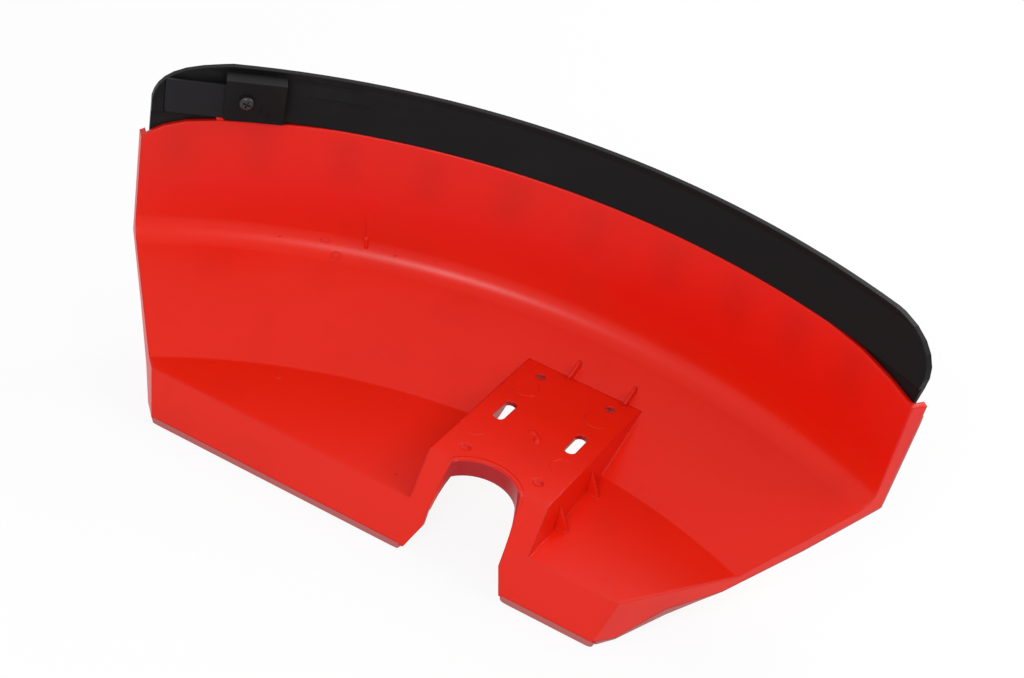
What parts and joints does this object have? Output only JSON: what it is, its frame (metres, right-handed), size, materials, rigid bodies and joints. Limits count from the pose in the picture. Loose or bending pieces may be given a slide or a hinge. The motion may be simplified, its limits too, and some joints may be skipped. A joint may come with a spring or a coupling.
{
  "type": "trimmer blade guard",
  "caption": "Fan-shaped red plastic guard for a string trimmer or brush cutter, with a slotted mounting pad, a U notch for the shaft, a black clip-on extension and a line cutter blade.",
  "frame": {"origin": "middle of the mounting pad's seat face, between the two slots", "axes": "+Z square to the pad, towards the cutting head side; +X along the front fold to the short arm; +Y from the notch to the skirt"},
  "size_m": [0.4465, 0.1728, 0.1706],
  "materials": {
    "red_plastic": "satin moulded",
    "black_plastic": "fine moulded",
    "blade_steel": "dark oiled",
    "screw_steel": "black oxide"
  },
  "bodies": {
    "root": {"guard_shell": "red_plastic", "line_guard_extension": "black_plastic", "line_cutter_blade": "blade_steel", "blade_screw": "screw_steel"}
  },
  "joints": []
}
